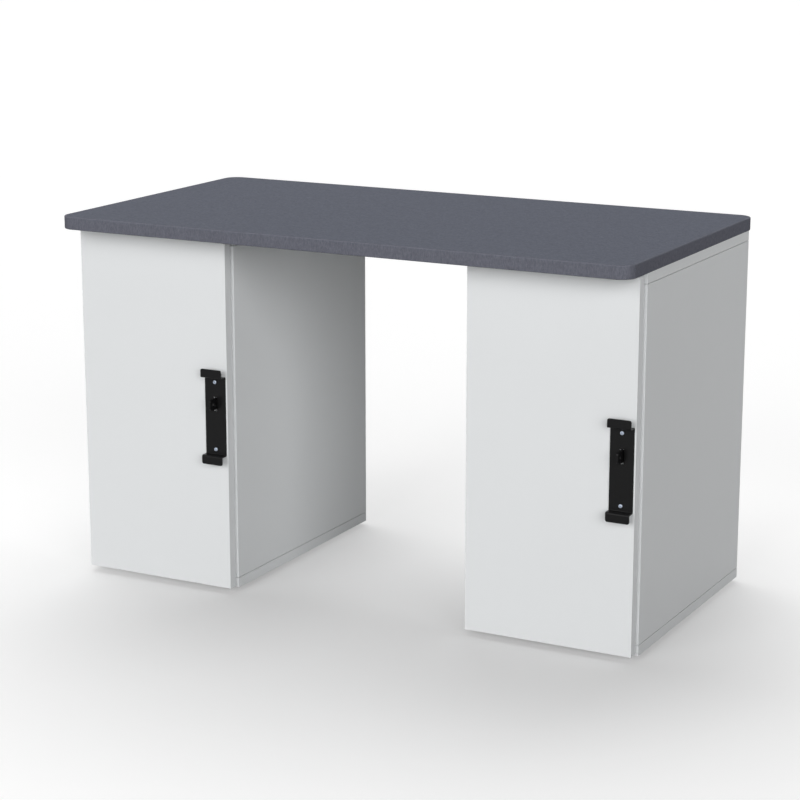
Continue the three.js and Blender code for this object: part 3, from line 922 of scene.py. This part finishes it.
class WORKBENCH_OT_handles(bpy.types.Operator):
    """Makes the two stepped handle plates and their pan-head screws"""

    bl_idname = "workbench.handles"
    bl_label = "Handles"

    def execute(self, context):
        sizes = context.scene.workbench_sizes
        for side in SIDES:
            self.add_plate(sizes, side)
            for end in ENDS:
                self.add_screw(sizes, f"{side}_handle_screw_{end}", leaf(side))
        return {"FINISHED"}

    def add_plate(self, sizes, side):
        """A sheet that follows the bent line, cut out at the slot, then given the steel's thickness."""
        low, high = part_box(f"{side}_handle")
        middle = (low + high) / 2
        slot_low = middle.z + sizes.slot_raise - sizes.slot_height / 2
        slot_high = slot_low + sizes.slot_height
        solid = bmesh.new()
        rows = []
        for depth, height in self.bent_line(sizes, low, high, middle.z):
            row = self.row_across(sizes, middle, high, height)
            rows.append([solid.verts.new((across, depth, height)) for across in row])
        for row, above in zip(rows, rows[1:]):
            for column in range(len(row) - 1):
                in_slot = column == 1 and row[0].co.z > slot_low - MERGE_DISTANCE
                if in_slot and above[0].co.z < slot_high + MERGE_DISTANCE:
                    continue
                solid.faces.new((row[column], row[column + 1], above[column + 1], above[column]))
        plate = add_form(f"{side}_handle_plate", solid, "black_steel", leaf(side), f"{side}_handle")
        # The steel's thickness and arris come before the normals are evened
        plate.modifiers.clear()
        thickness = plate.modifiers.new("steel", "SOLIDIFY")
        thickness.thickness = sizes.handle_thickness
        thickness.offset = 0.0
        thickness.use_even_offset = True
        ease = plate.modifiers.new("arris", "BEVEL")
        ease.width = sizes.handle_arris
        ease.segments = 2
        ease.limit_method = "ANGLE"
        ease.angle_limit = CUT_EDGE_ANGLE
        plate.modifiers.new("even_normals", "WEIGHTED_NORMAL").keep_sharp = True

    def row_across(self, sizes, middle, high, height):
        """Places across the plate at a height; the plate's ends draw in round their corners."""
        half = high.x - middle.x
        corner = sizes.handle_corner
        past = abs(height - middle.z) - (high.z - middle.z - corner)
        if past > 0:
            half -= corner - math.sqrt(corner ** 2 - min(past, corner) ** 2)
        slot = sizes.slot_width / 2
        return [middle.x + across for across in (-half, -slot, slot, half)]

    def bent_line(self, sizes, low, high, middle):
        """Middle line of the plate's steel seen from the side, from its lower to its upper end."""
        half_steel = sizes.handle_thickness / 2
        flat = high.y - half_steel
        flange = low.y + half_steel
        web = high.z - sizes.handle_flange - middle
        radius = sizes.handle_bend + half_steel
        upper = arc((flat - radius, web - radius), radius, 0.0, QUARTER_TURN, BEND_STEPS)
        root = (flange + radius, web + radius)
        upper += arc(root, radius, 3 * QUARTER_TURN, 2 * QUARTER_TURN, BEND_STEPS)
        corner = sizes.handle_corner
        corner_start = high.z - middle - corner
        rises = arc((0.0, corner_start), corner, 0.0, QUARTER_TURN, BEND_STEPS)
        ends = [(flange, height) for across, height in rises]
        slot_low = sizes.slot_raise - sizes.slot_height / 2
        slot_high = sizes.slot_raise + sizes.slot_height / 2
        rising = [(flat, slot_low), (flat, slot_high)] + upper + ends
        falling = [(depth, -height) for depth, height in upper + ends]
        return [(depth, height + middle) for depth, height in falling[::-1] + rising]

    def add_screw(self, sizes, node, body):
        """A pan-head screw of the CAD screw's size."""
        low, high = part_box(node)
        radius = (high.x - low.x) / 2
        shank_length = sizes.handle_screw_length
        plate_front = high.y - shank_length
        screw = pan_screw(radius, plate_front - low.y, sizes.handle_screw_shank, shank_length)
        place = ((low.x + high.x) / 2, plate_front, (low.z + high.z) / 2)
        screw.transform(facing(place, (0, -1, 0), HANDLE_SCREW_SPIN))
        add_piece(f"{node}_crossed", screw, "zinc_steel", body, node)


class WORKBENCH_OT_staples(bpy.types.Operator):
    """Makes the two padlock staples and the screws that hold them to the cabinet's side"""

    bl_idname = "workbench.staples"
    bl_label = "Padlock staples"

    def execute(self, context):
        sizes = context.scene.workbench_sizes
        screw = flat_screw(sizes)
        for side in SIDES:
            node = f"{side}_staple"
            add_eased(node, "black_steel", sizes.steel_arris, 2)
            low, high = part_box(node)
            face = high.x - sizes.staple_thickness
            height = (low.z + high.z) / 2
            stands = []
            for inset in STAPLE_SCREW_INSETS:
                place = (face, high.y - inset * MILLIMETRE, height)
                stands.append(facing(place, (-1, 0, 0), spin=inset))
            add_screws(f"{side}_staple_screws", screw, stands)
        return {"FINISHED"}


class WORKBENCH_OT_hinges(bpy.types.Operator):
    """Makes the four cup hinges with their pins, mounting plates and screws"""

    bl_idname = "workbench.hinges"
    bl_label = "Hinges"

    def execute(self, context):
        sizes = context.scene.workbench_sizes
        screw = flat_screw(sizes)
        for side in SIDES:
            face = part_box(f"{side}_cabinet_left_side")[1].x
            for end in ENDS:
                pattern = f"{side}_hinge_{{}}_{end}"
                for part in ("arm", "cup", "pin"):
                    add_eased(pattern.format(part), "nickel_steel", sizes.steel_arris)
                self.add_cup_screws(pattern, leaf(side), screw)
                self.add_arm_screws(pattern, screw)
                self.add_mounting_plate(pattern, face, screw)
        return {"FINISHED"}

    def add_cup_screws(self, pattern, body, screw):
        """The two screws that hold a cup to its door."""
        low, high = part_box(pattern.format("cup"))
        inset = 5.5 * MILLIMETRE
        stands = []
        for height in (low.z + inset, high.z - inset):
            stands.append(facing(((low.x + high.x) / 2, high.y, height), (0, 1, 0), spin=height))
        add_screws(pattern.format("cup_screws"), screw, stands, body)

    def add_arm_screws(self, pattern, screw):
        """The two screws that set an arm on its mounting plate."""
        low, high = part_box(pattern.format("arm"))
        height = (low.z + high.z) / 2
        stands = []
        for inset in ARM_SCREW_INSETS:
            place = (high.x, high.y - inset * MILLIMETRE, height)
            stands.append(facing(place, (1, 0, 0), spin=inset))
        add_screws(pattern.format("arm_screws"), screw, stands)

    def add_mounting_plate(self, pattern, face, screw):
        """A winged plate between a hinge's arm and the face of the cabinet's side, held by two screws."""
        low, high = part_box(pattern.format("arm"))
        middle = (low.z + high.z) / 2
        back = high.y - 6 * MILLIMETRE
        front = back - 22 * MILLIMETRE
        wing = 24 * MILLIMETRE
        corner = 6 * MILLIMETRE
        top = 1.6 * MILLIMETRE
        ease = 0.5 * MILLIMETRE
        screw_lift = 16 * MILLIMETRE
        outline = rounded_outline((front, -wing), (back, wing), corner, CROWN_STEPS)
        half_way = 0.3 * ease
        profile = [(0.0, 0.0), (0.0, top - ease), (half_way, top - half_way), (ease, top)]
        form = capped(outline, profile)
        turn = Matrix(((0, 0, 1, face), (1, 0, 0, 0), (0, 1, 0, middle), (0, 0, 0, 1)))
        bmesh.ops.transform(form, matrix=turn, verts=form.verts)
        add_form(pattern.format("mount"), form, "nickel_steel", BENCH)
        stands = []
        for lift in (-screw_lift, screw_lift):
            place = (face + top, (front + back) / 2, middle + lift)
            stands.append(facing(place, (1, 0, 0), spin=lift))
        add_screws(pattern.format("mount_screws"), screw, stands)


class WORKBENCH_OT_stage(bpy.types.Operator):
    """Sets the pale floor, the soft light and the camera"""

    bl_idname = "workbench.stage"
    bl_label = "Stage"

    def execute(self, context):
        stage = context.scene.workbench_stage
        self.add_floor(stage)
        self.light_world(context.scene)
        self.add_lamp(context.scene, "front_light", stage.front_way, stage.front_level, stage.low_spread)
        self.add_lamp(context.scene, "right_light", stage.right_way, stage.right_level, stage.low_spread)
        self.add_lamp(context.scene, "back_light", stage.back_way, stage.back_level, stage.high_spread)
        self.add_camera(context.scene, stage)
        context.scene.view_settings.view_transform = "Standard"
        return {"FINISHED"}

    @staticmethod
    def seen_directly(finish):
        """1 on rays from the camera or a mirror-like surface, 0 on rays that only bring light."""
        rays = [
            finish.node("ShaderNodeLightPath", output=name)
            for name in ("Is Camera Ray", "Is Glossy Ray", "Is Transmission Ray")
        ]
        return rays[0].larger(rays[1]).larger(rays[2])

    def add_floor(self, stage):
        """A wide floor that shows itself pale but sends less light back up to the bench."""
        reach = stage.floor_reach
        solid = bmesh.new()
        corners = [(-reach, -reach), (reach, -reach), (reach, reach), (-reach, reach)]
        solid.faces.new([solid.verts.new((x, y, 0.0)) for x, y in corners])
        floor = bpy.data.objects.new("studio_floor", to_mesh("studio_floor", solid))
        bpy.context.scene.collection.objects.link(floor)
        material = bpy.data.materials.new("studio_floor")
        finish = Finish(material)
        seen = self.seen_directly(finish)
        finish.surface(
            Base_Color=finish.between(scaled(stage.floor_bounce), scaled(stage.floor_colour), seen),
            Roughness=1.0,
            Specular_IOR_Level=0.0,
            Emission_Color=finish.between(BLACK, WHITE, seen * self.floor_glow(finish, stage)),
            Emission_Strength=1.0,
        )
        floor.data.materials.append(material)

    def floor_glow(self, finish, stage):
        """White that the floor adds to its own light: less at the bench, and least under the cabinets, as
        painted shade.
        """
        extent = (stage.shade_width, stage.shade_depth)
        glow = self.faded(finish, stage.shade_place, extent, stage.near_glow, stage.far_glow)
        # Painted shade: a pool of less glow under each cabinet
        for side in SIDES:
            place = middle_of(f"{side}_cabinet_bottom")
            place.x += stage.pool_shift
            extent = (stage.pool_width, stage.pool_depth)
            glow = glow - self.faded(finish, place, extent, stage.pool_level, 0.0)
        return glow

    @staticmethod
    def faded(finish, place, extent, inner, outer):
        """A level that goes from inner at a place on the floor to outer on an oval round it."""
        spread = (finish.places() - place) * (1 / extent[0], 1 / extent[1], 0.0)
        away = finish.node("ShaderNodeVectorMath", {"operation": "LENGTH"}, {0: spread}, output="Value")
        ends = {"Value": away, "To Min": inner, "To Max": outer}
        return finish.node("ShaderNodeMapRange", {"interpolation_type": "SMOOTHSTEP"}, ends)

    def light_world(self, scene):
        """A white backdrop that is seen but lights nothing: the lamps bring all the light."""
        scene.world = bpy.data.worlds.new("studio_world")
        finish = Finish(scene.world)
        seen = self.seen_directly(finish)
        backdrop = finish.node("ShaderNodeBackground", None, {"Color": WHITE, "Strength": 1.0})
        mixed = finish.node("ShaderNodeMixShader", None, {0: seen, 2: backdrop})
        finish.node("ShaderNodeOutputWorld", None, {"Surface": mixed})

    def add_lamp(self, scene, name, way, share, spread):
        """A far lamp that shows a surface facing it at that share of its own colour."""
        lamp = bpy.data.lights.new(name, "SUN")
        lamp.energy = share * math.pi
        lamp.angle = spread
        holder = bpy.data.objects.new(name, lamp)
        scene.collection.objects.link(holder)
        holder.rotation_euler = Vector(way).to_track_quat("Z", "Y").to_euler()

    def add_camera(self, scene, stage):
        """The photo's camera."""
        lens = bpy.data.cameras.new("photo_camera")
        lens.lens = stage.camera_lens
        lens.sensor_width = SENSOR_WIDTH
        lens.clip_end = stage.camera_reach
        camera = bpy.data.objects.new("photo_camera", lens)
        scene.collection.objects.link(camera)
        camera.location = stage.camera_place
        camera.rotation_euler = stage.camera_turn
        scene.camera = camera


class WORKBENCH_PT_sidebar(bpy.types.Panel):
    """Lists the workbench's operators and settings"""

    bl_idname = "WORKBENCH_PT_sidebar"
    bl_label = "Workbench"
    bl_space_type = "VIEW_3D"
    bl_region_type = "UI"
    bl_category = "Workbench"

    def draw(self, context):
        for maker in MAKERS:
            self.layout.operator(maker.bl_idname)
        for group in SETTINGS:
            owner = getattr(context.scene, group)
            box = self.layout.box()
            for name in owner.bl_rna.properties.keys():
                if name not in ("rna_type", "name"):
                    box.prop(owner, name)


SETTINGS = {
    "workbench_sizes": WorkbenchSizes,
    "workbench_colours": WorkbenchColours,
    "workbench_stage": WorkbenchStage,
}
MAKERS = (
    WORKBENCH_OT_worktop,
    WORKBENCH_OT_cabinets,
    WORKBENCH_OT_doors,
    WORKBENCH_OT_handles,
    WORKBENCH_OT_staples,
    WORKBENCH_OT_hinges,
    WORKBENCH_OT_stage,
)


def register():
    for group in SETTINGS.values():
        bpy.utils.register_class(group)
    for maker in MAKERS:
        bpy.utils.register_class(maker)
    bpy.utils.register_class(WORKBENCH_PT_sidebar)
    for name, group in SETTINGS.items():
        setattr(bpy.types.Scene, name, bpy.props.PointerProperty(type=group))


def unregister():
    for name in SETTINGS:
        delattr(bpy.types.Scene, name)
    bpy.utils.unregister_class(WORKBENCH_PT_sidebar)
    for maker in reversed(MAKERS):
        bpy.utils.unregister_class(maker)
    for group in SETTINGS.values():
        bpy.utils.unregister_class(group)


def main():
    register()
    bpy.ops.workbench.worktop()
    bpy.ops.workbench.cabinets()
    bpy.ops.workbench.doors()
    bpy.ops.workbench.handles()
    bpy.ops.workbench.staples()
    bpy.ops.workbench.hinges()
    bpy.ops.workbench.stage()


if __name__ == "__main__":
    main()
